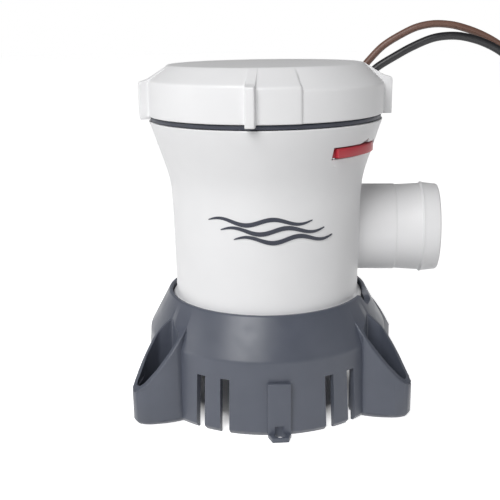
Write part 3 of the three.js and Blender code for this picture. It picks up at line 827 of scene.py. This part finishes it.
def foot():
    """A foot that points along X: drafted, chamfered at the floor, with rounded edges."""
    half = [(u, v, r) for (u, v), r in zip(FOOT_PLAN, FOOT_ROUNDING)]
    outline = clean(rounded([(u, -v, r) for u, v, r in half] + half[::-1], 6, 1))
    n = len(outline)
    low = [(max(FOOT_PLAN[0][0], u - 1.1), v * 0.87, 0) for u, v in outline]
    points = low + [(u, v, BASE_CHAMFER) for u, v in outline] + [(u, v, BASE_RIM_Z) for u, v in outline]
    faces = [list(range(n))[::-1], list(range(2 * n, 3 * n))]
    for row in (0, n):
        faces += [[row + i, row + (i + 1) % n, row + n + (i + 1) % n, row + n + i] for i in range(n)]
    block = drafted(fix_normals(make_object("foot", points, faces)))
    top = clean(rounded(FOOT_TOP, 6, 2))
    wedge = prism("foot_side", [(30, -1), (60, -1), (60, 11.4)] + [tuple(p) for p in top[::-1]], -20, 20)
    transform(wedge, Matrix.Rotation(math.pi / 2, 4, "X"))
    return soften(combine(block, wedge, "INTERSECT"), 0.5, 3, 35)


def foot_pocket(side):
    """The open well in a foot, whose inner end is skewed and reaches deepest on the given side."""
    near = [(u, -v * side) for u, v in FOOT_POCKET]
    far = [(u, v * side) for u, v in FOOT_POCKET[::-1]]
    outline = [(39.5, -5.5 * side), *near, *far, (36.9, 5 * side)]
    well = drafted(prism("pocket", outline, FOOT_FLOOR, 45))
    edges = well.modifiers.new("bevel", "BEVEL")
    edges.width = 0.8 * MM
    edges.segments = 4
    edges.limit_method = "ANGLE"
    edges.angle_limit = math.radians(20)
    return evaluated(well)


def base_skin():
    return lathe("strainer", rounded([
        (0, 0, 0),
        (BASE_R - 1.2, 0, 0.15),
        (BASE_R, BASE_CHAMFER, 0.25),
        (BASE_SHOULDER_R, BASE_SHOULDER_Z, 0.7),
        (BASE_RIM_R, BASE_RIM_Z, 0.45),
        (0, BASE_RIM_Z, 0),
    ], 5, 2), 192, closed=False)


def base_hollow(grow=0.0):
    wall = BASE_WALL - grow
    return lathe("hollow", [
        (0, -1), (BASE_R - wall, -1), (BASE_SHOULDER_R - wall, BASE_SHOULDER_Z - 0.6),
        (BASE_RIM_R - 1 + grow, BASE_RIM_Z - 2.2), (BASE_RIM_R - 1, BASE_RIM_Z + 1), (0, BASE_RIM_Z + 1),
    ], 160, closed=False)


def lug():
    half = LUG_WIDTH / 2
    strip = box("lug", 1.4, LUG_WIDTH, SLOT_TOP_Z, BASE_R + 0.2, 0, SLOT_TOP_Z / 2)
    side = [(38, half), (43.6, half), (LUG_REACH, half - 1.1)]
    outline = [(x, -y) for x, y in side] + side[::-1]
    lip = soften(prism("lip", outline, 0, LUG_THICKNESS), 0.2, 2)
    return combine(soften(strip, 0.3, 3), lip, "UNION")


def lug_hole():
    hole = lathe("hole", [(0, -1), (LUG_HOLE_R, -1), (LUG_HOLE_R, 4), (0, 4)], 32, closed=False)
    return transform(hole, Matrix.Translation((LUG_HOLE_AT, 0, 0)))


def rim_notch():
    """The tool that cuts the notch in the rim beside the outlet."""
    side = [(3.4, NOTCH_Z), (4.6, NOTCH_Z + 1), (5.9, BASE_RIM_Z + 1)]
    outline = side + [(-x, z) for x, z in side[::-1]]
    plate = prism("notch", outline, -6, 6)
    stand = Matrix.Rotation(math.pi / 2, 4, "Z") @ Matrix.Rotation(math.pi / 2, 4, "X")
    return transform(plate, Matrix.Translation((BASE_RIM_R + 3, 0, 0)) @ stand)


def make_base():
    base = base_skin()
    for turn in (0, 180):
        combine(base, spun(lug(), turn), "UNION")
    combine(base, base_hollow(), "DIFFERENCE")
    for turn in FOOT_TURNS:
        combine(base, spun(foot(), turn), "UNION")
    for turn in SLOT_TURNS:
        slot = box("slot", 8, SLOT_WIDTH, SLOT_TOP_Z + 1, BASE_R, 0, (SLOT_TOP_Z - 1) / 2)
        combine(base, spun(slot, turn), "DIFFERENCE")
    for turn, side in zip(FOOT_TURNS, FOOT_SIDES):
        combine(base, spun(foot_pocket(side), turn), "DIFFERENCE")
    for turn in (0, 180):
        combine(base, spun(lug_hole(), turn), "DIFFERENCE")
    combine(base, spun(rim_notch(), NOTCH_TURN), "DIFFERENCE")
    spun(base, -90 + BASE_TURN)
    for i, turn in enumerate(LEDGE_TURNS):
        ledge = box(f"base_ledge_{i + 1}", 10.2, 2, 9, 34.9, 0, HOUSING_BOTTOM_Z - 0.3 - 4.5)
        combine(ledge, base_hollow(0.8), "INTERSECT")
        spun(ledge, turn - 90 + BASE_TURN)
        finish(soften(ledge, 0.25, 2), "base", "base_plastic")
    finish(shade(base), "base", "base_plastic", "strainer_base")


make_base()


# ------------------------------------------------------------------ pieces inside
def make_shell():
    bore = SHELL_R - 1.4
    collar = PLUG_BORE_R - 0.3
    inside = SHELL_FLOOR_Z + 2.8
    section = closed_outline([
        (5.3, SHELL_FLOOR_Z, 0.2),
        (SHELL_R - 2, SHELL_FLOOR_Z, 0.8),
        (SHELL_R, SHELL_FLOOR_Z + 2, 0.8),
        (SHELL_R, 92, 1),
        (collar, 94, 0.5),
        (collar, 96, 0.4),
        (bore, 96, 0.3),
        (bore, inside, 0.5),
        (5.3, inside, 0.2),
    ])
    finish(shade(lathe("cartridge_shell", section, 160)), "cartridge", "grey_plastic", "motor_shell")


def make_inlet_plate():
    z = HOUSING_BOTTOM_Z + 0.4
    section = closed_outline([
        (INLET_R, z, 0.6),
        (29.2, z, 0.3),
        (29.2, z + 2, 0.3),
        (13, z + 2, 0.3),
        (12, z + 3, 0.3),
        (INLET_R, z + 3, 0.4),
    ])
    finish(shade(lathe("inlet_disc", section, 160)), "housing", "grey_plastic", "inlet_plate")


make_shell()
make_inlet_plate()


def dress_cad_nodes():
    """Every CAD node still shown takes the finish of its slot."""
    slots = {row["node"]: row["material_slot"] for row in frame["record"]["subparts"]}
    for name, node in frame["nodes"].items():
        if not node.hide_render:
            node.data.materials.clear()
            node.data.materials.append(LOOKS[slots[name]])
            node.data.shade_smooth()
            node.data.set_sharp_from_angle(angle=math.radians(35))


dress_cad_nodes()


# ------------------------------------------------------------------ stage and light
UNDER_R = 0.041
GLOW_FROM_R = 0.028
GLOW_FULL_R = 0.038
LAMP_AIM = (0, 0, 0.06)


def floor_piece(name, corners, z, material):
    mesh = bpy.data.meshes.new(name)
    mesh.from_pydata([(x, y, z) for x, y in corners], [], [list(range(len(corners)))])
    mesh.materials.append(material)
    piece = bpy.data.objects.new(name, mesh)
    bpy.context.scene.collection.objects.link(piece)
    return piece


def glowing_pale_floor():
    """White all over from its own glow, which is painted light and also lights the pump from below; the glow
    stops under the pump.
    """
    material, tree, shader = node_material("glowing_pale_floor")
    shader.inputs["Base Color"].default_value = (0.9, 0.9, 0.9, 1)
    shader.inputs["Roughness"].default_value = 0.9
    # Painted light: the floor glows, which keeps it white and lights the pump from below.
    shader.inputs["Emission Strength"].default_value = 0.85
    coordinates = tree.nodes.new("ShaderNodeTexCoord")
    reach = tree.nodes.new("ShaderNodeVectorMath")
    reach.operation = "DISTANCE"
    reach.inputs[1].default_value = (AXIS_X, 0, 0)
    # The painted glow fades in between these two distances from the pump's axis and is absent under the
    # pump.
    glow = tree.nodes.new("ShaderNodeMapRange")
    glow.inputs["From Min"].default_value = GLOW_FROM_R
    glow.inputs["From Max"].default_value = GLOW_FULL_R
    tree.links.new(coordinates.outputs["Object"], reach.inputs[0])
    tree.links.new(reach.outputs["Value"], glow.inputs["Value"])
    tree.links.new(glow.outputs["Result"], shader.inputs["Emission Color"])
    return material


def make_stage():
    """The wide floor sends no soft bounce onto the pump, which takes it from the studio instead. The
    round piece under the pump keeps the inside of the strainer dark."""
    material = glowing_pale_floor()
    floor = floor_piece("floor", [(-4, -4), (4, -4), (4, 4), (-4, 4)], -0.0003, material)
    floor.visible_diffuse = False
    turns = [math.tau * step / 64 for step in range(64)]
    circle = [(AXIS_X + UNDER_R * math.cos(turn), UNDER_R * math.sin(turn)) for turn in turns]
    # This piece carries the same painted glow, lit only beyond 28 mm from the axis, so it lights the
    # strainer's inside from below.
    under = floor_piece("floor_under_pump", circle, -0.0002, material)


def make_world():
    """A soft studio: white round the horizon, a weaker bounce from below, dim overhead."""
    world = bpy.data.worlds.new("studio")
    bpy.context.scene.world = world
    world.use_nodes = True
    tree = world.node_tree
    coordinates = tree.nodes.new("ShaderNodeTexCoord")
    split = tree.nodes.new("ShaderNodeSeparateXYZ")
    height = tree.nodes.new("ShaderNodeMapRange")
    height.inputs["From Min"].default_value = -1.0
    ramp = tree.nodes.new("ShaderNodeValToRGB")
    stops = ramp.color_ramp.elements
    stops[0].position = 0.46
    stops[0].color = (0.42, 0.42, 0.42, 1)
    stops[1].position = 0.48
    stops[1].color = (1, 1, 1, 1)
    for position, level in ((0.52, 1.0), (0.54, 0.48), (0.65, 0.48), (0.73, 0.09)):
        stops.new(position).color = (level, level, level, 1)
    tree.links.new(coordinates.outputs["Generated"], split.inputs["Vector"])
    tree.links.new(split.outputs["Z"], height.inputs["Value"])
    tree.links.new(height.outputs["Result"], ramp.inputs["Fac"])
    tree.links.new(ramp.outputs["Color"], tree.nodes["Background"].inputs["Color"])


def area_light(name, place, size, power):
    data = bpy.data.lights.new(name, "AREA")
    data.shape = "DISK"
    data.size = size
    data.energy = power
    light = bpy.data.objects.new(name, data)
    light.location = place
    light.rotation_euler = (Vector(LAMP_AIM) - Vector(place)).to_track_quat("-Z", "Y").to_euler()
    bpy.context.scene.collection.objects.link(light)


make_stage()
make_world()
area_light("key", (-0.29, -0.684, 0.669), 0.6, 6.8)
area_light("side", (-0.93, -0.25, 0.26), 0.4, 1.2)
area_light("fill", (0.85, -0.5, 0.35), 0.6, 0.6)
bpy.context.scene.view_settings.view_transform = "Standard"
